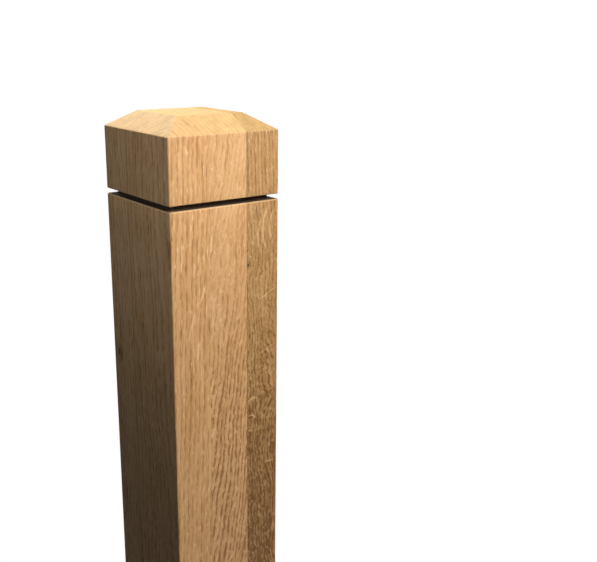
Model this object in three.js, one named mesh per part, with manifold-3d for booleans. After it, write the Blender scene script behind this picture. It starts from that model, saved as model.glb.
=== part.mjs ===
// Newel post: a square oak stair post, glued up from staves that run its whole length.
// A square-cut shadow groove parts the cap from the shaft, and the cap ends in a low
// four-sided roof with a flat top. The groove and the roof are machined through all the
// staves, so cap and shaft are the same wood.
// Frame: millimetres, +Z up, origin at the middle of the sawn base, front face towards -Y.
import * as THREE from "three";
import { mergeVertices } from "three/addons/utils/BufferGeometryUtils.js";
import Module from "manifold-3d";

// Driving dimensions: the whole post
const POST_WIDTH = 95; // across the flats, the same both ways
const POST_LENGTH = 1500; // base to flat top
const CORNER_RADIUS = 1.2; // the eased upright corners
const CORNER_STEPS = 4; // facets round one eased corner

// Driving dimensions: the roof of the cap
const ROOF_RISE = 12; // from the roof's lower edge to the flat top
const ROOF_INSET = 19; // from the post's face in to the flat top's edge

// Driving dimensions: the shadow groove
const CAP_SIDE_HEIGHT = 48; // upright side of the cap, between groove and roof
const GROOVE_HEIGHT = 3.2; // the saw kerf
const GROOVE_DEPTH = 6; // from the post's face in to the neck
const GROOVE_ARRIS = 1; // 45 degree easing of both lips

// Driving dimensions: the staves and their glue lines
const LEFT_STAVE = 31.5; // thickness of the stave on the -X side
const RIGHT_STAVE = 29.5; // thickness of the stave on the +X side; the middle one fills the rest
const BACK_STRIP = 35; // the left stave's rear strip, glued edge to edge to its front strip
const GLUE_GAP = 0.3; // clearance that stands for the glue between two staves
const SAWING_ALLOWANCE = 5; // how far a rough board stands past the finished post

// The heights and half widths that follow from them
const halfWidth = POST_WIDTH / 2;
const roofStart = POST_LENGTH - ROOF_RISE;
const grooveTop = roofStart - CAP_SIDE_HEIGHT;
const grooveBottom = grooveTop - GROOVE_HEIGHT;
const neckHalfWidth = halfWidth - GROOVE_DEPTH;
const flatTopHalfWidth = halfWidth - ROOF_INSET;

const wasm = await Module();
wasm.setup();

// Turns a closed three.js geometry into a solid that can be joined and cut.
function toSolid(geometry) {
  const bare = geometry.index ? geometry.toNonIndexed() : geometry.clone();
  bare.deleteAttribute("normal");
  bare.deleteAttribute("uv");
  const merged = mergeVertices(bare);
  const corners = merged.index.array;
  const triVerts = [];
  for (let i = 0; i < corners.length; i += 3) {
    const [a, b, c] = [corners[i], corners[i + 1], corners[i + 2]];
    const hasArea = a !== b && b !== c && c !== a;
    if (hasArea) triVerts.push(a, b, c);
  }
  const mesh = new wasm.Mesh({
    numProp: 3,
    vertProperties: new Float32Array(merged.attributes.position.array),
    triVerts: new Uint32Array(triVerts),
  });
  return new wasm.Manifold(mesh);
}

// Turns a solid back into a three.js geometry with flat-shaded faces.
function toGeometry(solid) {
  const mesh = solid.getMesh();
  const indexed = new THREE.BufferGeometry();
  indexed.setAttribute("position", new THREE.BufferAttribute(mesh.vertProperties, mesh.numProp));
  indexed.setIndex(new THREE.BufferAttribute(mesh.triVerts, 1));
  const geometry = indexed.toNonIndexed();
  geometry.computeVertexNormals();
  return geometry;
}

// The post's silhouette from the base up, as [half width, height] steps of a square section.
function postSteps() {
  return [
    [0, 0],
    [halfWidth, 0],
    [halfWidth, grooveBottom - GROOVE_ARRIS],
    [halfWidth - GROOVE_ARRIS, grooveBottom],
    [neckHalfWidth, grooveBottom],
    [neckHalfWidth, grooveTop],
    [halfWidth - GROOVE_ARRIS, grooveTop],
    [halfWidth, grooveTop + GROOVE_ARRIS],
    [halfWidth, roofStart],
    [flatTopHalfWidth, POST_LENGTH],
    [0, POST_LENGTH],
  ];
}

// A four-sided lathe turns those steps into the sharp-cornered form of the whole post.
function turnedSquareForm() {
  const sides = 4;
  const cornerAngle = Math.PI / sides;
  const profile = postSteps().map(([half, height]) => new THREE.Vector2(half * Math.SQRT2, height));
  const form = new THREE.LatheGeometry(profile, sides, cornerAngle);
  form.rotateX(Math.PI / 2);
  return toSolid(form);
}

// A rounded square prism eases the upright corners.
function easedCornerPrism() {
  const reach = halfWidth - CORNER_RADIUS;
  const outline = new THREE.Shape();
  outline.absarc(reach, reach, CORNER_RADIUS, 0, Math.PI / 2);
  outline.absarc(-reach, reach, CORNER_RADIUS, Math.PI / 2, Math.PI);
  outline.absarc(-reach, -reach, CORNER_RADIUS, Math.PI, 1.5 * Math.PI);
  outline.absarc(reach, -reach, CORNER_RADIUS, 1.5 * Math.PI, 2 * Math.PI);
  const prism = new THREE.ExtrudeGeometry(outline, {
    depth: POST_LENGTH + 2 * SAWING_ALLOWANCE,
    curveSegments: CORNER_STEPS,
    bevelEnabled: false,
  });
  prism.translate(0, 0, -SAWING_ALLOWANCE);
  return toSolid(prism);
}

// One rough board between two X and two Y positions, longer than the finished post.
function roughBoard(x0, x1, y0, y1) {
  const length = POST_LENGTH + 2 * SAWING_ALLOWANCE;
  const board = new THREE.BoxGeometry(x1 - x0, y1 - y0, length);
  board.translate((x0 + x1) / 2, (y0 + y1) / 2, POST_LENGTH / 2);
  return toSolid(board);
}

// Where each stave's board lies in the glued block, and the colour of its wood.
function staveLayout() {
  const outside = halfWidth + SAWING_ALLOWANCE;
  const halfGap = GLUE_GAP / 2;
  const leftSeam = -halfWidth + LEFT_STAVE;
  const rightSeam = halfWidth - RIGHT_STAVE;
  const stripSeam = halfWidth - BACK_STRIP;
  return [
    {
      name: "stave_left_front",
      x: [-outside, leftSeam - halfGap],
      y: [-outside, stripSeam - halfGap],
      color: 0xb98452,
    },
    {
      name: "stave_left_back",
      x: [-outside, leftSeam - halfGap],
      y: [stripSeam + halfGap, outside],
      color: 0xbd8c5c,
    },
    {
      name: "stave_middle",
      x: [leftSeam + halfGap, rightSeam - halfGap],
      y: [-outside, outside],
      color: 0xc2935f,
    },
    {
      name: "stave_right",
      x: [rightSeam + halfGap, outside],
      y: [-outside, outside],
      color: 0xa9794a,
    },
  ];
}

// A light oiled oak, one material for each stave's own shade.
function oak(color) {
  return new THREE.MeshStandardMaterial({ color, roughness: 0.5, metalness: 0 });
}

// The finished post: every stave is its rough board, cut to the machined form.
function buildNewelPost() {
  const machinedForm = turnedSquareForm().intersect(easedCornerPrism());
  const post = new THREE.Group();
  post.name = "newel_post";
  for (const stave of staveLayout()) {
    const board = roughBoard(...stave.x, ...stave.y);
    const mesh = new THREE.Mesh(toGeometry(machinedForm.intersect(board)), oak(stave.color));
    mesh.name = stave.name;
    post.add(mesh);
  }
  return post;
}

export default buildNewelPost();
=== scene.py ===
"""The looks of a square oak newel post, built round its packed construction model.

The post is glued up from staves that run its whole length. A shadow groove parts the
cap from the shaft, and the cap ends in a low four-sided roof with a flat top. Each stave
starts as a rough board, is machined to the post's form by Geometry Nodes, and is then
finished as oiled oak with rings, pores, ray flecks and knots of its own.

Sizes are in metres where nothing else is said, +Z is up, and the front face looks
towards -Y.
"""

from __future__ import annotations

import logging
import math
from dataclasses import dataclass
from enum import Enum

import bpy
from mathutils import Matrix, Vector

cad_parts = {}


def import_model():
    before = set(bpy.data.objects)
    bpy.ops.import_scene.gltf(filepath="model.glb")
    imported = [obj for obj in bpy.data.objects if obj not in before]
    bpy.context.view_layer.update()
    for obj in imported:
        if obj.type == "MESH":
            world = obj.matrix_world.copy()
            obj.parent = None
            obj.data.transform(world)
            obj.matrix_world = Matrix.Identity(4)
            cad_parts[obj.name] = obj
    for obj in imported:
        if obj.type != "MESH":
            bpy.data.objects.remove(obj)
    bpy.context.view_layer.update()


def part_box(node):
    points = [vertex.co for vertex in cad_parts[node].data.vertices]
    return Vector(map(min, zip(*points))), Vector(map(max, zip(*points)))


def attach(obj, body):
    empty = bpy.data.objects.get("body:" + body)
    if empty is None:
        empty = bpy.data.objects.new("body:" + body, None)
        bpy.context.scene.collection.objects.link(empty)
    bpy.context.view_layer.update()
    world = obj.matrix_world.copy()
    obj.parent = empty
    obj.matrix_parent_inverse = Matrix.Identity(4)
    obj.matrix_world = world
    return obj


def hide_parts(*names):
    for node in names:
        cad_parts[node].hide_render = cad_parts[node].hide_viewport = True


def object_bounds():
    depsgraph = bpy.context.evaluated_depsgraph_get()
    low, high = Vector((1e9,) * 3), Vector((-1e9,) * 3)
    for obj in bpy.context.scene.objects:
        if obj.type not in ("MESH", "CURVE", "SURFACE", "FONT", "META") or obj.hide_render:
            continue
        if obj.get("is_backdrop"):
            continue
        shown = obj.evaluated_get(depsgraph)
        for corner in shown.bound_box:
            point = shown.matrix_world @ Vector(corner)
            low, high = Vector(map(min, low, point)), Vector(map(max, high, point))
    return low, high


MM = 0.001
PHOTO_WIDTH = 597
SENSOR_WIDTH_MM = 36.0
LOG = logging.getLogger("newel_post")

Colour = tuple[float, float, float]
Point = tuple[float, float, float]
Pair = tuple[float, float]
Socket = bpy.types.NodeSocket

# Where Blender's Mix node keeps its two numbers, its two colours and the mixed colour
NUMBER_A, NUMBER_B = 2, 3
COLOUR_A, COLOUR_B, MIXED_COLOUR = 6, 7, 2


def from_hex(code: str) -> Colour:
    """Turn a screen colour into the linear values that shaders take.

    Args:
        code: Six hexadecimal digits, such as "d8a86e".

    Returns:
        Red, green and blue as linear light.
    """
    channels = [int(code[i : i + 2], 16) / 255 for i in (0, 2, 4)]
    # The sRGB curve: a straight foot, then a power
    linear = [c / 12.92 if c <= 0.04045 else ((c + 0.055) / 1.055) ** 2.4 for c in channels]
    return (linear[0], linear[1], linear[2])


def blot(across: float, along: float) -> Point:
    """Return the size of a blot of wood, from its width and its length in millimetres."""
    return (across * MM, across * MM, along * MM)


class Signal:
    """One number that changes over a surface: a node socket with arithmetic."""

    def __init__(self, graph: Graph, socket: Socket) -> None:
        """Wrap a socket of a graph's node."""
        self.graph = graph
        self.socket = socket

    def math(self, operation: str, *others: Signal | float) -> Signal:
        """Send this number, and any others, through a Math node."""
        inputs = dict(enumerate((self, *others)))
        return self.graph.node("ShaderNodeMath", {"operation": operation}, inputs).signal(0)

    def __add__(self, other: Signal | float) -> Signal:
        """Add."""
        return self.math("ADD", other)

    __radd__ = __add__

    def __sub__(self, other: Signal | float) -> Signal:
        """Subtract."""
        return self.math("SUBTRACT", other)

    def __rsub__(self, other: float) -> Signal:
        """Subtract from a plain number."""
        return -self + other

    def __neg__(self) -> Signal:
        """Turn the sign round."""
        return self * -1.0

    def __mul__(self, other: Signal | float) -> Signal:
        """Multiply."""
        return self.math("MULTIPLY", other)

    __rmul__ = __mul__

    def __truediv__(self, other: Signal | float) -> Signal:
        """Divide."""
        return self.math("DIVIDE", other)

    def centred(self) -> Signal:
        """Shift what runs from 0 to 1, so that it runs from -0.5 to 0.5."""
        return self - 0.5

    def root(self) -> Signal:
        """Return the square root."""
        return self.math("SQRT")

    def size(self) -> Signal:
        """Return the number without its sign."""
        return self.math("ABSOLUTE")

    def sign(self) -> Signal:
        """Return 1, 0 or -1."""
        return self.math("SIGN")

    def floor(self) -> Signal:
        """Return the whole number below."""
        return self.math("FLOOR")

    def fraction(self) -> Signal:
        """Return what is left above the whole number below."""
        return self.math("FRACT")

    def at_least(self, other: Signal | float) -> Signal:
        """Return the larger of the two."""
        return self.math("MAXIMUM", other)

    def at_most(self, other: Signal | float) -> Signal:
        """Return the smaller of the two."""
        return self.math("MINIMUM", other)

    def above(self, other: Signal | float) -> Signal:
        """Return 1 where this number is the larger, and 0 elsewhere."""
        return self.math("GREATER_THAN", other)

    def rise(self, low: float, high: float) -> Signal:
        """Rise smoothly from 0 at low to 1 at high."""
        settings = {"interpolation_type": "SMOOTHSTEP"}
        inputs = {"Value": self, "From Min": low, "From Max": high}
        return self.graph.node("ShaderNodeMapRange", settings, inputs).signal("Result")

    def blend(self, low: Signal | float, high: Signal | float) -> Signal:
        """Go from low to high as this number goes from 0 to 1."""
        inputs = {"Factor": self, NUMBER_A: low, NUMBER_B: high}
        return self.graph.node("ShaderNodeMix", {"data_type": "FLOAT"}, inputs).signal(0)


Place = tuple[Signal, Signal, Signal]


class Step:
    """One node of a graph, whose outputs are read by name or number."""

    def __init__(self, graph: Graph, node: bpy.types.Node) -> None:
        """Wrap a node."""
        self.graph = graph
        self.node = node

    def out(self, name: str | int = 0) -> Socket:
        """Return an output socket, for vectors, colours and shaders."""
        return self.node.outputs[name]

    def signal(self, name: str | int = 0) -> Signal:
        """Return an output as a number to reckon with."""
        return Signal(self.graph, self.node.outputs[name])


class Graph:
    """A node tree, for a material or for geometry, that is written as expressions."""

    def __init__(self, tree: bpy.types.NodeTree) -> None:
        """Start on an empty tree."""
        self.tree = tree
        tree.nodes.clear()

    def node(
        self,
        kind: str,
        settings: dict[str, object] | None = None,
        inputs: dict[str | int, object] | None = None,
    ) -> Step:
        """Add a node, set it up and feed it.

        Args:
            kind: Blender's name for the node's type.
            settings: The node's own properties, set before its sockets.
            inputs: A value, socket or Signal for each input, by name or number.

        Returns:
            The node, wrapped so that its outputs can be read.
        """
        made = self.tree.nodes.new(kind)
        for name, value in (settings or {}).items():
            setattr(made, name, value)
        for name, value in (inputs or {}).items():
            self.feed(made.inputs[name], value)
        return Step(self, made)

    def feed(self, socket: Socket, value: object) -> None:
        """Link a socket to another one, or set its value."""
        if isinstance(value, Signal):
            self.tree.links.new(value.socket, socket)
        elif isinstance(value, Socket):
            self.tree.links.new(value, socket)
        elif socket.type == "RGBA":
            socket.default_value = (*value, 1.0)
        else:
            socket.default_value = value

    def vector(self, x: Signal | float, y: Signal | float, z: Signal | float) -> Socket:
        """Join three numbers into a vector."""
        return self.node("ShaderNodeCombineXYZ", None, {"X": x, "Y": y, "Z": z}).out()

    def parts(self, vector: Socket) -> Place:
        """Split a vector into its three numbers."""
        split = self.node("ShaderNodeSeparateXYZ", None, {"Vector": vector})
        return split.signal("X"), split.signal("Y"), split.signal("Z")

    def mix(self, factor: Signal | float, low: object, high: object) -> Socket:
        """Go from one colour to another as the factor goes from 0 to 1."""
        settings = {"data_type": "RGBA", "clamp_factor": True}
        inputs = {"Factor": factor, COLOUR_A: low, COLOUR_B: high}
        return self.node("ShaderNodeMix", settings, inputs).out(MIXED_COLOUR)

    def noise(self, place: Socket, detail: float) -> Step:
        """Return cloudy noise about one unit across."""
        inputs = {"Vector": place, "Scale": 1.0, "Detail": detail, "Roughness": 0.5}
        return self.node("ShaderNodeTexNoise", {"noise_dimensions": "3D"}, inputs)


@dataclass(frozen=True)
class PostForm:
    """The machined form of the whole post, which every stave takes its share of."""

    half_width: float
    length: float
    corner_radius: float = 1.2 * MM
    hip_radius: float = 0.5 * MM
    base_easing: float = 0.3 * MM
    roof_rise: float = 12 * MM
    roof_inset: float = 19 * MM
    roof_edge_softness: float = 0.9 * MM
    cap_side: float = 48 * MM
    groove_height: float = 3.8 * MM
    groove_depth: float = 6 * MM
    lip_radius: float = 0.8 * MM
    lip_wear: float = 0.5
    wear_length: float = 4 * MM
    step_gap: float = 0.02 * MM
    lip_steps: int = 5
    shaft_step: float = 15 * MM
    cap_step: float = 6 * MM
    roof_step: float = 1.5 * MM

    @property
    def roof_start(self) -> float:
        """The height of the roof's lower edge."""
        return self.length - self.roof_rise

    @property
    def groove_middle(self) -> float:
        """The height of the groove's mid line."""
        return self.roof_start - self.cap_side - self.groove_height / 2

    def is_face(self, place: float) -> bool:
        """Tell whether a board's side lies on one of the post's outer faces."""
        return abs(place) > self.half_width - MM

    def levels(self) -> list[float]:
        """Return the heights at which a rough board needs a ring of points.

        Returns:
            Heights from the base to the flat top, close together at each edge.
        """
        half_kerf = self.groove_height / 2
        below = self.groove_middle - half_kerf
        above = self.groove_middle + half_kerf
        quarter = math.pi / 2
        turns = [math.sin(quarter * i / self.lip_steps) for i in range(self.lip_steps + 1)]
        lower_lip = [below - self.lip_radius * (1 - t) for t in turns]
        upper_lip = [above + self.lip_radius * (1 - t) for t in reversed(turns)]
        soft = self.roof_edge_softness
        shaft = spread(self.base_easing, below - self.lip_radius, self.shaft_step)
        cap = spread(above + self.lip_radius, self.roof_start - soft, self.cap_step)
        roof = spread(self.roof_start + soft, self.length, self.roof_step)
        roof_edge = [self.roof_start - soft / 2, self.roof_start, self.roof_start + soft / 2]
        neck = [below + self.step_gap, above - self.step_gap]
        return [0.0, *shaft, *lower_lip[1:], *neck, *upper_lip[:-1], *cap, *roof_edge, *roof]


def spread(start: float, stop: float, step: float) -> list[float]:
    """Return evenly spaced values from start to stop, about a step apart."""
    count = max(1, round((stop - start) / step))
    return [start + (stop - start) * i / count for i in range(count + 1)]


class MachiningTree:
    """Geometry Nodes that cut a rough board to the post's form."""

    NAME = "Machine a stave"
    WEAR_DETAIL = 3.0
    MERGE_SHARE = 0.25
    ROUNDING = 1e-6
    NEVER_ZERO = 1e-9

    def __init__(self, form: PostForm) -> None:
        """Build the tree once, with a named input for each size of the form."""
        self.form = form
        self.tree = bpy.data.node_groups.new(self.NAME, "GeometryNodeTree")
        self.graph = Graph(self.tree)
        self.identifiers: dict[str, str] = {}
        self.size: dict[str, Signal] = {}
        self._build()

    def _sizes(self) -> dict[str, float]:
        """Name the sizes that the tree takes, with their values."""
        form = self.form
        return {
            "Half Width": form.half_width,
            "Corner Radius": form.corner_radius,
            "Hip Radius": form.hip_radius,
            "Base Easing": form.base_easing,
            "Roof Start": form.roof_start,
            "Roof Slope": form.roof_inset / form.roof_rise,
            "Roof Edge Softness": form.roof_edge_softness,
            "Groove Middle": form.groove_middle,
            "Half Kerf": form.groove_height / 2,
            "Groove Depth": form.groove_depth,
            "Lip Radius": form.lip_radius,
            "Lip Wear": form.lip_wear,
            "Wear Length": form.wear_length,
            "Step Gap": form.step_gap,
        }

    def _add_socket(self, name: str, kind: str, direction: str = "INPUT") -> None:
        """Give the tree one named socket and note its identifier."""
        socket = self.tree.interface.new_socket(name, in_out=direction, socket_type=kind)
        self.identifiers[f"{direction} {name}"] = socket.identifier

    def _build(self) -> None:
        """Add the sockets and the nodes."""
        graph = self.graph
        self._add_socket("Geometry", "NodeSocketGeometry")
        for name in self._sizes():
            self._add_socket(name, "NodeSocketFloat")
        self._add_socket("Finish", "NodeSocketMaterial")
        self._add_socket("Geometry", "NodeSocketGeometry", "OUTPUT")
        given = graph.node("NodeGroupInput")
        self.size = {name: given.signal(name) for name in self._sizes()}
        x, y, z = graph.parts(graph.node("GeometryNodeInputPosition").out())
        new_x, new_y = self._trim(x, y, self._reach((x, y, z)), self._corner_radius(z))
        inputs = {"Geometry": given.out("Geometry"), "Position": graph.vector(new_x, new_y, z)}
        moved = graph.node("GeometryNodeSetPosition", None, inputs)
        inputs = {"Geometry": moved.out(), "Distance": self.size["Step Gap"] * self.MERGE_SHARE}
        merged = graph.node("GeometryNodeMergeByDistance", None, inputs)
        real = graph.node("GeometryNodeRealizeInstances", None, {"Geometry": merged.out()})
        inputs = {"Geometry": real.out(), "Material": given.out("Finish")}
        dressed = graph.node("GeometryNodeSetMaterial", None, inputs)
        graph.node("NodeGroupOutput", None, {"Geometry": dressed.out()})

    def _reach(self, point: Place) -> Signal:
        """Work out how far the faces stand from the post's middle at a height.

        Args:
            point: The place of a point of the rough board.

        Returns:
            The half width of the square section at its height.
        """
        size, z = self.size, point[2]
        sloped = size["Half Width"] - (z - size["Roof Start"]) * size["Roof Slope"]
        reach = size["Half Width"].math("SMOOTH_MIN", sloped, size["Roof Edge Softness"])
        base_loss = (size["Base Easing"] - z).at_least(0.0)
        wear_place = self.graph.vector(*(part / size["Wear Length"] for part in point))
        wear = self.graph.noise(wear_place, self.WEAR_DETAIL).signal(0)
        unevenness = wear.centred() * 2.0
        radius = size["Lip Radius"] * (1.0 + unevenness * size["Lip Wear"])
        from_middle = (z - size["Groove Middle"]).size()
        into_lip = (size["Half Kerf"] + radius - from_middle).at_least(0.0).at_most(radius)
        lip_loss = radius - (radius * radius - into_lip * into_lip).at_least(0.0).root()
        in_kerf = (size["Half Kerf"] - size["Step Gap"] * 0.5).above(from_middle)
        return reach - base_loss - in_kerf.blend(lip_loss, size["Groove Depth"])

    def _corner_radius(self, z: Signal) -> Signal:
        """Return the radius of the upright corners, which tightens over the roof's hips."""
        size = self.size
        up_roof = (z - size["Roof Start"]) / size["Roof Edge Softness"]
        share = up_roof.at_least(0.0).at_most(1.0)
        return share.blend(size["Corner Radius"], size["Hip Radius"])

    def _trim(self, x: Signal, y: Signal, reach: Signal, radius: Signal) -> tuple[Signal, Signal]:
        """Bring a rough board's point in to the section, with its corners rounded.

        Args:
            x: The point's place across the front face.
            y: The point's place from front to back.
            reach: The section's half width at the point's height.
            radius: The section's corner radius there.

        Returns:
            The point's new x and y.
        """
        size = self.size
        tightening = radius / size["Corner Radius"]
        flat = reach - radius
        corner_zone = size["Half Width"] - size["Corner Radius"] - self.ROUNDING

        def drawn_in(along: Signal) -> Signal:
            """Move one coordinate in, keeping the spacing of a corner's points."""
            from_corner = size["Half Width"] - along.size()
            in_corner = reach - from_corner * tightening
            on_flat = along.size().at_most(flat)
            return along.size().above(corner_zone).blend(on_flat, in_corner)

        across, deep = drawn_in(x), drawn_in(y)
        past_x = (across - flat).at_least(0.0)
        past_y = (deep - flat).at_least(0.0)
        past = (past_x * past_x + past_y * past_y).root().at_least(self.NEVER_ZERO)
        pull = (radius / past).at_most(1.0)
        round_x = across.at_most(flat) + past_x * pull
        round_y = deep.at_most(flat) + past_y * pull
        return x.sign() * round_x, y.sign() * round_y

    def cut(self, board: bpy.types.Object, finish: bpy.types.Material) -> None:
        """Machine a rough board and leave it a plain mesh.

        Args:
            board: The rough board's object.
            finish: The material that the stave gets.
        """
        modifier = board.modifiers.new(self.NAME, "NODES")
        modifier.node_group = self.tree
        for name, value in self._sizes().items():
            modifier[self.identifiers[f"INPUT {name}"]] = value
        modifier[self.identifiers["INPUT Finish"]] = finish
        depsgraph = bpy.context.evaluated_depsgraph_get()
        machined = bpy.data.meshes.new_from_object(board.evaluated_get(depsgraph))
        board.modifiers.remove(modifier)
        rough = board.data
        board.data = machined
        bpy.data.meshes.remove(rough)


class Figure(Enum):
    """How the grain of a sawn board runs, as named sorts of figure."""

    STRAIGHT = "straight"
    WILD = "wild"
    SILVER = "silver"


@dataclass(frozen=True)
class Grain:
    """The measures of one sort of figure.

    The fibres lean, wander slowly and curl quickly. The dark ring lines have a contrast
    and a length. Of the ray flecks, a share shows, so much lighter than the wood round
    them, and mottle is the weight of the cloudy light and dark in the bolder part.
    """

    lean: float
    wander: float
    wander_length: float
    curl: float
    curl_size: Point
    line_contrast: float
    line_length: float
    fleck_size: Point
    fleck_share: float
    fleck_light: float
    pore_length: float
    mottle: float


GRAINS = {
    Figure.STRAIGHT: Grain(
        lean=0.04,
        wander=8.8 * MM,
        wander_length=60 * MM,
        curl=1.4 * MM,
        curl_size=blot(6, 9),
        line_contrast=0.28,
        line_length=9 * MM,
        fleck_size=(1.7 * MM, 0.7 * MM, 13 * MM),
        fleck_share=0.42,
        fleck_light=0.42,
        pore_length=5 * MM,
        mottle=0.0,
    ),
    Figure.WILD: Grain(
        lean=0.13,
        wander=14 * MM,
        wander_length=45 * MM,
        curl=2.6 * MM,
        curl_size=blot(6, 8),
        line_contrast=0.14,
        line_length=7 * MM,
        fleck_size=(1.5 * MM, 0.7 * MM, 8 * MM),
        fleck_share=0.4,
        fleck_light=0.34,
        pore_length=4 * MM,
        mottle=0.8,
    ),
    Figure.SILVER: Grain(
        lean=-0.04,
        wander=24 * MM,
        wander_length=35 * MM,
        curl=3.8 * MM,
        curl_size=blot(6, 6),
        line_contrast=0.3,
        line_length=4 * MM,
        fleck_size=(1.7 * MM, 0.9 * MM, 5 * MM),
        fleck_share=0.4,
        fleck_light=0.32,
        pore_length=3 * MM,
        mottle=1.3,
    ),
}


@dataclass(frozen=True)
class Arc:
    """The circle that a ray streak follows, and how much of it, in metres as x and z."""

    centre: Pair
    radius: float
    crown: Pair
    half_length: float


@dataclass(frozen=True)
class RayStreak:
    """A single pale ray that crosses the front face, straight or bowed.

    Its ends are x and z, and like its width and its bow they are in millimetres.
    """

    start: Pair
    end: Pair
    width: float
    bow: float = 0.1
    strength: float = 0.72

    def arc(self) -> Arc:
        """Work out the circle that the streak follows, from its ends and its bow."""
        x0, z0, x1, z1, bow = (size * MM for size in (*self.start, *self.end, self.bow))
        run, rise = x1 - x0, z1 - z0
        half = math.hypot(run, rise) / 2
        across = (-rise / (2 * half), run / (2 * half))
        radius = (half * half + bow * bow) / (2 * bow)
        crown = ((x0 + x1) / 2 + across[0] * bow, (z0 + z1) / 2 + across[1] * bow)
        centre = (crown[0] - across[0] * radius, crown[1] - across[1] * radius)
        return Arc(centre, abs(radius), crown, half)


@dataclass(frozen=True)
class Knot:
    """A knot, stretched along the grain, with the fibres that part round it."""

    place: Point
    radius: float
    stretch: float


@dataclass(frozen=True)
class GlueLine:
    """A glue line that shows as a dark stripe along one side of a board.

    Its place is an x where the axis is 0, and a y where it is 1.
    """

    axis: int
    place: float
    width: float
    strength: float


@dataclass(frozen=True)
class OakBoard:
    """One board of oak: how it was sawn, and the shades of its wood.

    The pith is where the middle of its tree was, as x and y, and the shades are its
    pale, its middle and its deep colour. Below the first of two heights the wood is
    darker, or its figure bolder, by a share, and above the second one not at all. The
    figure is calmer above a height and on the post's right face.
    """

    figure: Figure
    pith: Pair
    ring_width: float
    shades: tuple[str, str, str]
    seed: float
    knots: tuple[Knot, ...] = ()
    streaks: tuple[RayStreak, ...] = ()
    darker_below: Pair = (0.0, 1.0)
    darker_share: float = 0.0
    bolder_below: Pair = (0.0, 1.0)
    bolder_share: float = 0.0
    calm_above: float = 0.0
    calm_outside: float = 0.0
    glue_line: GlueLine | None = None


@dataclass(frozen=True)
class Rings:
    """The growth rings of a board, as its material reads them.

    The tone is each ring's own shade, early is the open-pored start of a ring, lines are
    the dark lines that this draws, and radius is the distance from the pith.
    """

    tone: Signal
    early: Signal
    lines: Signal
    radius: Signal


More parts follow.
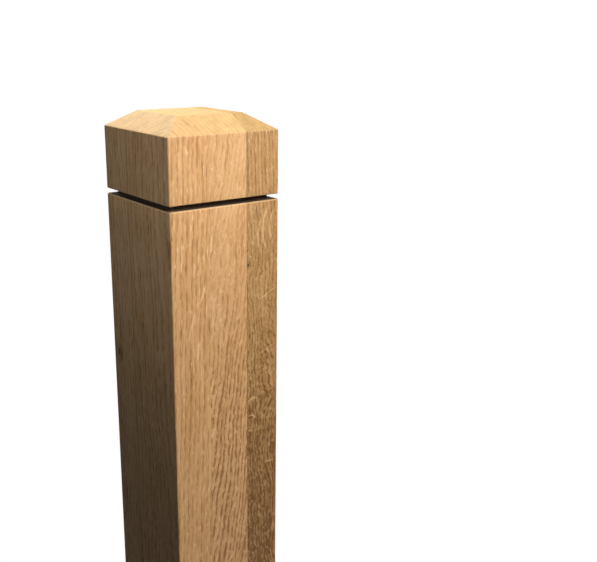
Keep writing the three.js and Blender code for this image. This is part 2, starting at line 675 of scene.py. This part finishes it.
class OakFinish:
    """The material of one board: planed, sanded and oiled oak.

    Lightness runs from 0 for the board's deep colour, through its middle one, to 1 for
    its pale one. A weight says how far a pattern moves it, a fade is where a pattern
    goes from nothing to full, and a size is how large its blots are.
    """

    # How much detail a cloud of noise has
    PLAIN_DETAIL = 1.0
    CURL_DETAIL = 1.5
    FINE_DETAIL = 2.0

    # How light the long faces are
    GROUND = 0.56
    THREAD_SIZE = blot(0.8, 9)
    THREAD_WEIGHT = 0.7
    STREAK_SIZE = blot(2.6, 30)
    STREAK_WEIGHT = 0.5
    DRIFT_SIZE = blot(18, 60)
    DRIFT_WEIGHT = 0.35
    MOTTLE_SIZE = blot(3.2, 5)
    RING_WEIGHT = 0.14
    # A painted highlight along the groove's lower lip
    LIP_HIGHLIGHT_WEIGHT = 0.5
    LIP_HIGHLIGHT_FADE = (0.4 * MM, 0.8 * MM)

    # How far the fibres stray, and where they are straighter
    WANDER_STRETCH = 1.6
    CALM_ON_ENDS = 0.85
    CALM_UP = 0.88
    CALM_FADE = 30 * MM
    CALM_DEPTH = 3 * MM
    PARTING = 0.7
    PARTING_REACH = 6.0

    # Rings, pores, flecks and ray streaks
    RING_DRIFT = 1.2
    RING_DRIFT_SIZE = blot(12, 300)
    EARLY_START = (0.0, 0.12)
    EARLY_END = (0.2, 0.6)
    LINE_BREAK = 3 * MM
    LINE_FADE = (0.3, 0.62)
    PORE_WIDTH = 0.42 * MM
    PORE_FADE = (0.54, 0.66)
    LATE_PORES = 0.3
    PORES_ON_ENDS = 0.15
    PORES_ON_FACES = 0.5
    FLECK_FADE = (0.3, 0.62)
    FLECK_CHOICE_FADE = 0.06
    FLECKS_ON_ENDS = 0.2
    RAY_CORE = (0.2, 0.7)
    RAY_ENDS = (0.6, 1.15)
    RAY_DEPTH = 2 * MM

    # The sawn ends and the roof, with a level and a share of blue for each shade
    END_GRAIN_FADE = (0.35, 0.65)
    SPOKES = 90.0
    SPOKE_LENGTH = 14 * MM
    SPOKE_FADE = (0.5, 0.75)
    SPOKE_WEIGHT = 0.2
    PATCH_SIZE = blot(9, 60)
    PATCH_FADE = (0.3, 0.7)
    END_BREAK_SIZE = blot(5, 20)
    END_BREAK_FADE = (0.35, 0.65)
    END_RING_WEIGHT = 0.36
    END_PORE_WEIGHT = 0.12
    END_DARK = (0.68, 0.9)
    END_LIGHT = (0.8, 0.9)
    END_RAY = (0.98, 0.92)

    # Glue lines, knots and the painted shadow in the groove
    GLUE_SHADE = from_hex("4a311b")
    GLUE_CORE = 0.3
    KNOT_SHADE = from_hex("2a1a0e")
    KNOT_CORE = 0.78
    KNOT_HALO = 0.3
    HALO_REACH = 2.6
    # Painted shadow: the groove's sawn faces are darkened towards near black, a little less on
    # the left side
    GROOVE_SHADOW_COLOUR = from_hex("1c120a")
    GROOVE_SHADOW_STRENGTH = 0.93
    GROOVE_SHADOW_LESS_LEFT = 0.15
    KERF_FADE = (0.1 * MM, 0.3 * MM)
    LIP_DEPTHS = (0.5, 1.4)

    # Gloss and relief
    ROUGHNESS = 0.5
    PORE_ROUGHNESS = 0.2
    FLECK_GLOSS = 0.08
    END_ROUGHNESS = 0.12
    DRIFT_ROUGHNESS = 0.1
    GROOVE_ROUGHNESS = 0.4
    SPECULAR = 0.4
    FLECK_RELIEF = 0.4
    RING_RELIEF = 0.3
    RELIEF_STRENGTH = 0.5
    RELIEF_DEPTH = 0.08 * MM

    def __init__(self, name: str, board: OakBoard, form: PostForm) -> None:
        """Start the material and read the places that its patterns follow."""
        self.board = board
        self.form = form
        self.grain = GRAINS[board.figure]
        self.pale, self.middle, self.deep = (from_hex(shade) for shade in board.shades)
        self.made = bpy.data.materials.new(name)
        self.made.use_nodes = True
        self.graph = Graph(self.made.node_tree)
        coordinates = self.graph.node("ShaderNodeTexCoord")
        self.place = self.graph.parts(coordinates.out("Object"))
        self.x, self.y, self.z = self.place
        upward = self.graph.parts(coordinates.out("Normal"))[2].size()
        self.end_grain = upward.rise(*self.END_GRAIN_FADE)
        self.long_grain = 1.0 - self.end_grain

    def material(self) -> bpy.types.Material:
        """Build the board's material.

        Returns:
            A material whose colour, gloss and relief follow the grain.
        """
        graph = self.graph
        fibre = self._fibre_place()
        knots = self._knot_shade()
        rings = self._rings(fibre)
        pores = self._pores(fibre, rings.early)
        flecks = self._flecks(fibre)
        drift = self._cloud(self.place, self.DRIFT_SIZE, self.FINE_DETAIL)
        groove = self._painted_groove_shadow()
        lightness = self._lightness(fibre, rings, flecks, drift)
        # The lower half of the lightness runs from deep to middle, the upper half to pale
        wood = graph.mix(lightness.at_least(0.0) * 2.0, self.deep, self.middle)
        wood = graph.mix(lightness.centred() * 2.0, wood, self.pale)
        pore_share = self._on_faces(self.PORES_ON_ENDS, self.PORES_ON_FACES)
        wood = graph.mix(pores * pore_share, wood, self.deep)
        wood = graph.mix(self.end_grain, wood, self._end_colour(fibre, rings, pores))
        wood = graph.mix(self._glue_stripe() * self.long_grain, wood, self.GLUE_SHADE)
        wood = graph.mix(knots, wood, self.KNOT_SHADE)
        # Painted shadow: the groove's faces are mixed towards near black
        wood = graph.mix(groove, wood, self.GROOVE_SHADOW_COLOUR)
        roughness = (
            self.ROUGHNESS
            + pores * self.PORE_ROUGHNESS
            - flecks * self.FLECK_GLOSS
            + self.end_grain * self.END_ROUGHNESS
            + drift.centred() * self.DRIFT_ROUGHNESS
            + groove * self.GROOVE_ROUGHNESS
        )
        relief = flecks * self.FLECK_RELIEF - pores - rings.early * self.RING_RELIEF - knots
        inputs = {
            "Base Color": wood,
            "Roughness": roughness,
            "Normal": self._bump(relief),
            "Specular IOR Level": self.SPECULAR,
        }
        shader = graph.node("ShaderNodeBsdfPrincipled", None, inputs)
        graph.node("ShaderNodeOutputMaterial", None, {"Surface": shader.out()})
        return self.made

    def _lightness(self, fibre: Place, rings: Rings, flecks: Signal, drift: Signal) -> Signal:
        """Add up how light the wood is on the board's long faces.

        Args:
            fibre: The place in straightened wood.
            rings: The growth rings.
            flecks: The ray flecks.
            drift: The slow change of shade along the board.

        Returns:
            0 for the board's deep colour, 0.5 for its middle one and 1 for its pale one.
        """
        board, grain = self.board, self.grain
        threads = self._cloud(fibre, self.THREAD_SIZE)
        streaks = self._cloud(fibre, self.STREAK_SIZE)
        mottle = self._cloud(fibre, self.MOTTLE_SIZE)
        bolder = self._below(board.bolder_below)
        darker = self._below(board.darker_below)
        return (
            self.GROUND
            + threads.centred() * self.THREAD_WEIGHT
            + streaks.centred() * self.STREAK_WEIGHT
            + drift.centred() * self.DRIFT_WEIGHT
            + rings.tone.centred() * self.RING_WEIGHT
            - rings.lines * grain.line_contrast * (1.0 + bolder * board.bolder_share)
            + mottle.centred() * bolder * (1.0 - self._calm_face()) * grain.mottle
            - darker * board.darker_share
            + self._ray_streaks()
            # A painted highlight along the groove's lower lip
            + self._painted_lip_highlight() * self.LIP_HIGHLIGHT_WEIGHT
            + flecks * grain.fleck_light * self._on_faces(self.FLECKS_ON_ENDS, 1.0)
        )

    def _bump(self, relief: Signal) -> Socket:
        """Turn the relief of the planed wood into a bumped normal."""
        strength, depth = self.RELIEF_STRENGTH, self.RELIEF_DEPTH
        inputs = {"Strength": strength, "Distance": depth, "Height": relief}
        return self.graph.node("ShaderNodeBump", None, inputs).out()

    def _on_faces(self, on_ends: float, on_faces: float) -> Signal:
        """Return one value on sawn ends and another on the long faces."""
        return on_ends + self.long_grain * (on_faces - on_ends)

    def _below(self, heights: Pair) -> Signal:
        """Return 1 below the first height and 0 above the second."""
        return 1.0 - self.z.rise(*heights)

    def _near_face(self, outward: Signal, depth: float) -> Signal:
        """Return 1 on one face of the post, falling to 0 at a depth inside it."""
        half_width = self.form.half_width
        return outward.rise(half_width - depth, half_width - MM)

    def _cloud(self, place: Place, size: Point, detail: float = PLAIN_DETAIL) -> Signal:
        """Return noise whose blots have a given size along x, y and z."""
        seed = self.board.seed
        x, y, z = place
        spot = self.graph.vector(x / size[0] + seed, y / size[1] - seed, z / size[2] + seed)
        return self.graph.noise(spot, detail).signal(0)

    def _fibre_place(self) -> Place:
        """Work out where a point lies among the fibres, which lean, wander and curl.

        Returns:
            The place in straightened wood, where the fibres run along z.
        """
        graph, grain, seed = self.graph, self.grain, self.board.seed
        x, y, z = self.place
        length, size = grain.wander_length, grain.curl_size
        upward = self.WANDER_STRETCH * length
        slow = graph.vector(x / length + seed, y / length + seed, z / upward)
        sway = graph.parts(graph.noise(slow, self.PLAIN_DETAIL).out("Color"))
        quick = graph.vector(x / size[0] - seed, y / size[1] + seed, z / size[2])
        curl = graph.parts(graph.noise(quick, self.CURL_DETAIL).out("Color"))
        looseness = 1.0 - self._calm()
        wander, curling = looseness * grain.wander, looseness * grain.curl
        along_x = x - (z - self.form.length) * grain.lean
        along_x = along_x + sway[0].centred() * wander + curl[0].centred() * curling
        along_y = y + sway[1].centred() * wander + curl[1].centred() * curling
        for knot in self.board.knots:
            parting = self._nearness(knot, self.PARTING_REACH) * self.PARTING
            along_x = along_x - (x - knot.place[0]) * parting
            along_y = along_y - (y - knot.place[1]) * parting
        return along_x, along_y, z

    def _calm(self) -> Signal:
        """Return how far the fibres are straightened, from 0 for not at all to 1."""
        calm_above = self.board.calm_above
        calm = self.end_grain * self.CALM_ON_ENDS
        if calm_above > 0.0:
            above = self.z.rise(calm_above - self.CALM_FADE, calm_above)
            calm = calm.at_least(above * self.CALM_UP)
        return calm.at_least(self._calm_face())

    def _calm_face(self) -> Signal:
        """Return how much calmer the figure is on the post's right face than inside."""
        return self._near_face(self.x, self.CALM_DEPTH) * self.board.calm_outside

    def _nearness(self, knot: Knot, reach: float) -> Signal:
        """Return 1 in a knot, falling to 0 some radii away, further along the grain."""
        radius = knot.radius * reach
        dx = (self.x - knot.place[0]) / radius
        dy = (self.y - knot.place[1]) / radius
        dz = (self.z - knot.place[2]) / (radius * knot.stretch)
        away = dx * dx + dy * dy + dz * dz
        return 1.0 - away.rise(0.0, 1.0)

    def _knot_shade(self) -> Signal:
        """Return how dark the board's knots make each place."""
        shade = self.x * 0.0
        for knot in self.board.knots:
            core = self._nearness(knot, 1.0) * self.KNOT_CORE
            halo = self._nearness(knot, self.HALO_REACH) * self.KNOT_HALO
            shade = shade.at_least(core).at_least(halo)
        return shade

    def _ray_streaks(self) -> Signal:
        """Return how much of a ray streak shows at each place of the front face."""
        shown = self.x * 0.0
        for streak in self.board.streaks:
            arc = streak.arc()
            width = streak.width * MM
            off_line = (self._distance(arc.centre) - arc.radius).size()
            core = 1.0 - off_line.rise(*(width * share for share in self.RAY_CORE))
            from_crown = self._distance(arc.crown)
            ends = 1.0 - from_crown.rise(*(arc.half_length * share for share in self.RAY_ENDS))
            shown = shown.at_least(core * ends * streak.strength)
        return shown * self._near_face(-self.y, self.RAY_DEPTH)

    def _distance(self, point: Pair) -> Signal:
        """Return how far each place is from a point, seen from the front."""
        dx, dz = self.x - point[0], self.z - point[1]
        return (dx * dx + dz * dz).root()

    def _glue_stripe(self) -> Signal:
        """Return how dark the board's glue line makes each place."""
        line = self.board.glue_line
        if line is None:
            return self.x * 0.0
        from_line = ((self.x, self.y)[line.axis] - line.place).size()
        return (1.0 - from_line.rise(line.width * self.GLUE_CORE, line.width)) * line.strength

    def _painted_groove_shadow(self) -> Signal:
        """Return how strongly shadow is painted on the groove's sawn faces, a little less on the
        left side.
        """
        form = self.form
        half_kerf = form.groove_height / 2
        from_middle = (self.z - form.groove_middle).size()
        at_height = 1.0 - from_middle.rise(*(half_kerf + fade for fade in self.KERF_FADE))
        depth = form.half_width - self.x.size().at_least(self.y.size())
        inside = depth.rise(*(form.lip_radius * share for share in self.LIP_DEPTHS)) * at_height
        # The painted shadow is weaker on the left side of the groove
        on_left = (-self.x).above(form.half_width - form.groove_depth)
        return inside * (self.GROOVE_SHADOW_STRENGTH - on_left * self.GROOVE_SHADOW_LESS_LEFT)

    def _painted_lip_highlight(self) -> Signal:
        """Return 1 on the groove's lower lip, where a painted highlight lightens the eased edge.
        """
        form = self.form
        lip = form.groove_middle - form.groove_height / 2 - form.lip_radius / 2
        return 1.0 - (self.z - lip).size().rise(*self.LIP_HIGHLIGHT_FADE)

    def _rings(self, fibre: Place) -> Rings:
        """Work out the growth rings round the board's pith.

        Args:
            fibre: The place in straightened wood.

        Returns:
            The rings' patterns.
        """
        board = self.board
        dx, dy = fibre[0] - board.pith[0], fibre[1] - board.pith[1]
        radius = (dx * dx + dy * dy).root()
        uneven = self._cloud(fibre, self.RING_DRIFT_SIZE)
        count = radius / board.ring_width + uneven * self.RING_DRIFT
        inputs = {"W": count.floor() + board.seed}
        shade = self.graph.node("ShaderNodeTexWhiteNoise", {"noise_dimensions": "1D"}, inputs)
        part = count.fraction()
        early = part.rise(*self.EARLY_START) * (1.0 - part.rise(*self.EARLY_END))
        broken = self._cloud(fibre, (self.LINE_BREAK, self.LINE_BREAK, self.grain.line_length))
        lines = early * broken.rise(*self.LINE_FADE)
        return Rings(shade.signal("Value"), early, lines, radius)

    def _pores(self, fibre: Place, early: Signal) -> Signal:
        """Return the open pores: short dark dashes along the fibres, most in early wood."""
        fine = self._cloud(fibre, (self.PORE_WIDTH, self.PORE_WIDTH, self.grain.pore_length))
        return fine.rise(*self.PORE_FADE) * (self.LATE_PORES + early * (1.0 - self.LATE_PORES))

    def _flecks(self, fibre: Place) -> Signal:
        """Return the ray flecks: pale spindles that lie along the fibres."""
        size, seed = self.grain.fleck_size, self.board.seed
        x, y, z = fibre
        spot = self.graph.vector(x / size[0] + seed, y / size[1], z / size[2] - seed)
        settings = {"voronoi_dimensions": "3D", "distance": "MANHATTAN"}
        cells = self.graph.node("ShaderNodeTexVoronoi", settings, {"Vector": spot, "Scale": 1.0})
        choice = self.graph.parts(cells.out("Color"))[0]
        bare = 1.0 - self.grain.fleck_share
        shown = choice.rise(bare, bare + self.FLECK_CHOICE_FADE)
        return (1.0 - cells.signal("Distance").rise(*self.FLECK_FADE)) * shown

    def _end_colour(self, fibre: Place, rings: Rings, pores: Signal) -> Socket:
        """Colour the sawn ends and the roof: rings as lines, rays as fine pale spokes.

        Args:
            fibre: The place in straightened wood.
            rings: The growth rings.
            pores: The open pores.

        Returns:
            The colour of the end grain.
        """
        graph, pith = self.graph, self.board.pith
        turn = (self.y - pith[1]).math("ARCTAN2", self.x - pith[0])
        spokes = graph.vector(turn * self.SPOKES, rings.radius / self.SPOKE_LENGTH, 0.0)
        rays = graph.noise(spokes, self.PLAIN_DETAIL).signal(0).rise(*self.SPOKE_FADE)
        patch = self._cloud(fibre, self.PATCH_SIZE, self.FINE_DETAIL).rise(*self.PATCH_FADE)
        broken = self._cloud(fibre, self.END_BREAK_SIZE).rise(*self.END_BREAK_FADE)
        shade = graph.mix(patch, self._shade(*self.END_DARK), self._shade(*self.END_LIGHT))
        lines = rings.early * broken * self.END_RING_WEIGHT + pores * self.END_PORE_WEIGHT
        shade = graph.mix(lines, shade, self.deep)
        return graph.mix(rays * self.SPOKE_WEIGHT, shade, self._shade(*self.END_RAY))

    def _shade(self, level: float, blueness: float) -> Colour:
        """Return the board's pale colour at a level, with a share of its blue."""
        red, green, blue = self.pale
        return (red * level, green * level, blue * level * blueness)


@dataclass(frozen=True)
class Stave:
    """One stave of the post, from rough board to finished piece."""

    node: str
    slot: str
    board: OakBoard
    glue_width: float = 0.05 * MM
    model_gap: float = 0.3 * MM
    point_step: float = 1.5 * MM
    corner_steps: int = 4
    sharp_angle: float = math.radians(14)

    def build(self, form: PostForm, machining: MachiningTree) -> bpy.types.Object:
        """Saw, machine and finish the stave.

        Args:
            form: The form of the whole post.
            machining: The tree that cuts a board to that form.

        Returns:
            The finished stave, standing for its construction node.
        """
        rough = self._rough_board(form)
        machining.cut(rough, OakFinish(self.slot, self.board, form).material())
        rough.data.shade_smooth()
        rough.data.set_sharp_from_angle(angle=self.sharp_angle)
        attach(rough, "root")
        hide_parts(self.node)
        LOG.info("%s: %d faces", rough.name, len(rough.data.polygons))
        return rough

    def _bounds(self, form: PostForm) -> tuple[float, float, float, float]:
        """Return the board's sides: the post's faces, or half a glue line from a seam."""
        low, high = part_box(self.node)
        swell = (self.model_gap - self.glue_width) / 2

        def side(value: float, outward: float) -> float:
            """Move a seam out to its glue line, and leave an outer face alone."""
            return value if form.is_face(value) else value + outward * swell

        return side(low.x, -1), side(high.x, 1), side(low.y, -1), side(high.y, 1)

    def _outline(self, form: PostForm) -> list[Pair]:
        """Return the points round the board's section, anticlockwise from above.

        Args:
            form: The form of the whole post.

        Returns:
            x and y of each point, close together near the post's own corners.
        """
        x0, x1, y0, y1 = self._bounds(form)
        corners = [(x0, y0), (x1, y0), (x1, y1), (x0, y1)]
        points: list[Pair] = []
        for (ax, ay), (bx, by) in zip(corners, corners[1:] + corners[:1]):
            length = math.hypot(bx - ax, by - ay)
            eased_start = form.is_face(ax) and form.is_face(ay)
            eased_end = form.is_face(bx) and form.is_face(by)
            for mark in self._marks(form, length, eased_start, eased_end)[:-1]:
                share = mark / length
                points.append((ax + (bx - ax) * share, ay + (by - ay) * share))
        return points

    def _marks(
        self, form: PostForm, length: float, eased_start: bool, eased_end: bool
    ) -> list[float]:
        """Return where along one side of the section its points lie.

        Args:
            form: The form of the whole post.
            length: How long the side is.
            eased_start: Whether the side starts at one of the post's eased corners.
            eased_end: Whether it ends at one.

        Returns:
            Distances along the side, with half an arc's worth at an eased corner.
        """
        radius, steps = form.corner_radius, self.corner_steps
        half_corner = math.pi / 4
        arc = [radius * (1 - math.tan(half_corner * i / steps)) for i in range(steps, 0, -1)]
        start = arc if eased_start else []
        end = [length - mark for mark in reversed(arc)] if eased_end else []
        first = radius if eased_start else 0.0
        last = length - radius if eased_end else length
        return [*start, *spread(first, last, self.point_step), *end]

    def _rough_board(self, form: PostForm) -> bpy.types.Object:
        """Make the rough board: its section at every level, closed at both ends."""
        outline = self._outline(form)
        levels = form.levels()
        count = len(outline)
        points = [(x, y, z) for z in levels for x, y in outline]
        faces = [tuple(reversed(range(count)))]
        for row in range(len(levels) - 1):
            base = row * count
            for i in range(count):
                j = (i + 1) % count
                faces.append((base + i, base + j, base + count + j, base + count + i))
        last = (len(levels) - 1) * count
        faces.append(tuple(last + i for i in range(count)))
        mesh = bpy.data.meshes.new(self.node)
        mesh.from_pydata(points, [], faces)
        board = bpy.data.objects.new(f"{self.node}_wood", mesh)
        bpy.context.scene.collection.objects.link(board)
        return board


class NewelPost:
    """The whole post: its form and the four staves that it is glued up from."""

    # Start, end and width of each ray streak
    LEFT_STREAKS = (
        RayStreak((-28.8, 1359.1), (-34.1, 1338.0), 1.3),
        RayStreak((-19.3, 1378.3), (-23.3, 1366.7), 1.3),
        RayStreak((-28.1, 1396.7), (-29.0, 1385.7), 1.1),
        RayStreak((-25.2, 1336.0), (-26.9, 1322.6), 1.5),
        RayStreak((-33.7, 1481.5), (-31.6, 1475.3), 1.1),
        RayStreak((-38.0, 1406.5), (-39.2, 1392.0), 1.2),
    )
    MIDDLE_STREAKS = (
        RayStreak((-12.9, 1415.4), (-13.9, 1402.3), 1.3),
        RayStreak((-13.8, 1263.2), (-15.2, 1253.7), 1.8),
        RayStreak((-13.3, 1303.6), (-15.0, 1291.8), 1.4),
    )
    RIGHT_STREAKS = (
        RayStreak((18.2, 1274.4), (28.4, 1276.4), 1.5, bow=2.6),
        RayStreak((18.3, 1262.2), (25.6, 1258.4), 1.6, bow=3.2),
        RayStreak((18.7, 1249.6), (23.2, 1249.2), 1.1, bow=1.2),
        RayStreak((29.6, 1358.8), (46.4, 1366.9), 1.3, strength=0.42),
        RayStreak((30.9, 1314.4), (45.5, 1320.6), 1.3, strength=0.42),
        RayStreak((35.5, 1217.4), (45.1, 1217.0), 1.0, bow=0.8),
        RayStreak((38.5, 1432.6), (37.5, 1396.4), 1.6, bow=-5.2, strength=0.55),
        RayStreak((43.6, 1430.0), (42.4, 1402.0), 1.5, bow=-3.4, strength=0.4),
        RayStreak((32.0, 1424.0), (32.6, 1394.0), 1.6, bow=-3.8, strength=0.36),
    )

    def __init__(self) -> None:
        """Take the post's size from the frame and lay out its staves."""
        low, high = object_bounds()
        self.form = PostForm(half_width=(high[0] - low[0]) / 2, length=high[2] - low[2])
        face = self.form.half_width
        seam_knot = Knot(place=(19.3 * MM, -face, 1388 * MM), radius=1.5 * MM, stretch=1.2)
        side_knot = Knot(place=(-face, 39 * MM, 1307 * MM), radius=2.9 * MM, stretch=1.7)
        boards = {
            "left_front": OakBoard(
                figure=Figure.STRAIGHT,
                pith=(-78 * MM, -58 * MM),
                ring_width=4.2 * MM,
                shades=("ecc594", "d6a772", "9c6c3d"),
                seed=3.7,
                streaks=self.LEFT_STREAKS,
            ),
            "left_back": OakBoard(
                figure=Figure.STRAIGHT,
                pith=(-120 * MM, -60 * MM),
                ring_width=3.6 * MM,
                shades=("edc998", "dcaf7b", "a67a4c"),
                seed=11.2,
                knots=(side_knot,),
                glue_line=GlueLine(1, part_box("stave_left_back")[0].y, 1.2 * MM, 0.45),
            ),
            "middle": OakBoard(
                figure=Figure.WILD,
                pith=(-150 * MM, -95 * MM),
                ring_width=3.8 * MM,
                shades=("e8c495", "d5a774", "a47448"),
                seed=23.9,
                streaks=self.MIDDLE_STREAKS,
                bolder_below=(1236 * MM, 1405 * MM),
                bolder_share=4.6,
            ),
            "right": OakBoard(
                figure=Figure.SILVER,
                pith=(150 * MM, -30 * MM),
                ring_width=3.2 * MM,
                shades=("d5b180", "b38b59", "7c5730"),
                seed=41.3,
                knots=(seam_knot,),
                streaks=self.RIGHT_STREAKS,
                darker_below=(1200 * MM, 1330 * MM),
                darker_share=0.26,
                bolder_below=(1250 * MM, 1434 * MM),
                bolder_share=0.8,
                calm_above=1434 * MM,
                calm_outside=0.75,
                glue_line=GlueLine(0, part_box("stave_right")[0].x, 1.2 * MM, 0.22),
            ),
        }
        self.staves = [
            Stave(f"stave_{where}", f"oak_{where}", board) for where, board in boards.items()
        ]

    def build(self) -> None:
        """Build every stave."""
        machining = MachiningTree(self.form)
        for stave in self.staves:
            stave.build(self.form, machining)


@dataclass(frozen=True)
class SoftLight:
    """One soft lamp of the studio, aimed at a height on the post's middle line."""

    name: str
    place: Point
    aim_height: float
    size: Pair
    watts: float
    colour: Colour
    beam: float = 180.0

    def hang(self) -> None:
        """Add the lamp, unseen by the camera."""
        lamp = bpy.data.lights.new(self.name, "AREA")
        lamp.shape = "RECTANGLE"
        lamp.size, lamp.size_y = self.size
        lamp.energy = self.watts
        lamp.spread = math.radians(self.beam)
        lamp.color = self.colour
        made = bpy.data.objects.new(self.name, lamp)
        made.location = self.place
        aim = Vector((0.0, 0.0, self.aim_height)) - Vector(self.place)
        made.rotation_euler = aim.to_track_quat("-Z", "Y").to_euler()
        made.visible_camera = False
        bpy.context.scene.collection.objects.link(made)


class Studio:
    """The white backdrop and floor, the soft light and the camera."""

    BACKDROP = (1.0, 1.0, 1.0)
    AMBIENT = (0.9, 0.95, 0.8)
    AMBIENT_STRENGTH = 0.015
    FLOOR_SIZE = 60.0
    SHADOW_REACH = 1.6
    FLOOR_SHADE = (0.3, 0.3, 0.3)
    GLOW_NEAR = 0.8
    SHADOW_START = 0.4

    AZIMUTH = math.radians(-38.63)
    ELEVATION = math.radians(16.22)
    ROLL = math.radians(0.83)
    CAMERA_PLACE = (-0.3422, -0.5611, 1.5586)
    FOCAL_PIXELS = 858.9
    CLIP_START = 0.01

    # Name, place, height aimed at, width and height, watts, colour and angle of the beam
    LIGHTS = (
        SoftLight("cap_lamp", (0.26, -0.46, 1.76), 1.46, (0.25, 0.25), 5.0, (1.0, 0.93, 0.84)),
        SoftLight("roof_lamp", (0.0, 0.35, 1.95), 1.49, (0.2, 0.2), 4.9, (1.0, 0.9, 0.7)),
        SoftLight("left_fill", (-0.3, -0.08, 1.5), 1.55, (0.15, 0.15), 0.22, (0.75, 0.83, 0.98)),
        SoftLight("low_left", (-1.0, 0.1, 0.45), 0.4, (0.3, 0.7), 0.48, (1.0, 0.95, 0.78), 56),
        SoftLight("low_front", (0.5, -1.2, 0.45), 0.4, (0.4, 0.7), 1.8, (1.0, 0.95, 0.88), 56),
        SoftLight("front_bank", (1.3, -2.6, 1.5), 0.8, (1.2, 2.2), 9.0, (1.0, 0.95, 0.88)),
        SoftLight("right_bank", (2.6, 0.7, 1.4), 0.8, (1.2, 2.2), 40.0, (1.0, 0.96, 0.9)),
        SoftLight("back_bank", (0.6, 2.8, 1.6), 0.8, (1.2, 2.2), 34.0, (1.0, 0.97, 0.93)),
    )

    def build(self) -> None:
        """Set up the studio."""
        self._world()
        self._floor()
        for light in self.LIGHTS:
            light.hang()
        self._camera()
        bpy.context.scene.view_settings.view_transform = "Standard"
        LOG.info("studio: %d lamps", len(self.LIGHTS))

    def _world(self) -> None:
        """Make a white backdrop that lights the post only a little."""
        world = bpy.data.worlds.new("white_room")
        world.use_nodes = True
        graph = Graph(world.node_tree)
        seen = graph.node("ShaderNodeBackground", None, {"Color": self.BACKDROP, "Strength": 1.0})
        inputs = {"Color": self.AMBIENT, "Strength": self.AMBIENT_STRENGTH}
        cast = graph.node("ShaderNodeBackground", None, inputs)
        ray = graph.node("ShaderNodeLightPath").signal("Is Camera Ray")
        mixed = graph.node("ShaderNodeMixShader", None, {0: ray, 1: cast.out(), 2: seen.out()})
        graph.node("ShaderNodeOutputWorld", None, {"Surface": mixed.out()})
        bpy.context.scene.world = world

    def _floor(self) -> None:
        """Lay a floor that looks white but still takes a faint shadow near the post."""
        half = self.FLOOR_SIZE / 2
        corners = [(-half, -half, 0), (half, -half, 0), (half, half, 0), (-half, half, 0)]
        mesh = bpy.data.meshes.new("floor")
        mesh.from_pydata(corners, [], [(0, 1, 2, 3)])
        floor = bpy.data.objects.new("floor", mesh)
        bpy.context.scene.collection.objects.link(floor)
        material = bpy.data.materials.new("pale_floor")
        material.use_nodes = True
        graph = Graph(material.node_tree)
        matt = graph.node("ShaderNodeBsdfDiffuse", None, {"Color": self.FLOOR_SHADE})
        glow = graph.node("ShaderNodeEmission", None, {"Color": self.BACKDROP, "Strength": 1.0})
        ray = graph.node("ShaderNodeLightPath").signal("Is Camera Ray")
        x, y, _ = graph.parts(graph.node("ShaderNodeTexCoord").out("Object"))
        away = (x * x + y * y).root().rise(self.SHADOW_START, self.SHADOW_REACH)
        share = ray * away.blend(self.GLOW_NEAR, 1.0)
        seen = graph.node("ShaderNodeMixShader", None, {0: share, 1: matt.out(), 2: glow.out()})
        graph.node("ShaderNodeOutputMaterial", None, {"Surface": seen.out()})
        mesh.materials.append(material)
        floor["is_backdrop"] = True

    def _camera(self) -> None:
        """Stand the camera where the close-up of the cap was taken from."""
        azimuth, elevation, roll = self.AZIMUTH, self.ELEVATION, self.ROLL
        out, upward = math.cos(elevation), math.sin(elevation)
        back = Vector((math.sin(azimuth) * out, -math.cos(azimuth) * out, upward))
        level = Vector((math.cos(azimuth), math.sin(azimuth), 0.0))
        upright = back.cross(level)
        right = level * math.cos(roll) + upright * math.sin(roll)
        up = upright * math.cos(roll) - level * math.sin(roll)
        data = bpy.data.cameras.new("camera")
        data.sensor_width = SENSOR_WIDTH_MM
        data.lens = self.FOCAL_PIXELS / PHOTO_WIDTH * SENSOR_WIDTH_MM
        data.clip_start = self.CLIP_START
        camera = bpy.data.objects.new("camera", data)
        turn = Matrix((right, up, back)).transposed().to_4x4()
        camera.matrix_world = Matrix.Translation(self.CAMERA_PLACE) @ turn
        bpy.context.scene.collection.objects.link(camera)
        bpy.context.scene.camera = camera


def main() -> None:
    """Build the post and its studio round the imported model."""
    logging.basicConfig(level=logging.INFO, format="%(name)s: %(message)s")
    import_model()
    Studio().build()
    NewelPost().build()


if __name__ == "__main__":
    main()
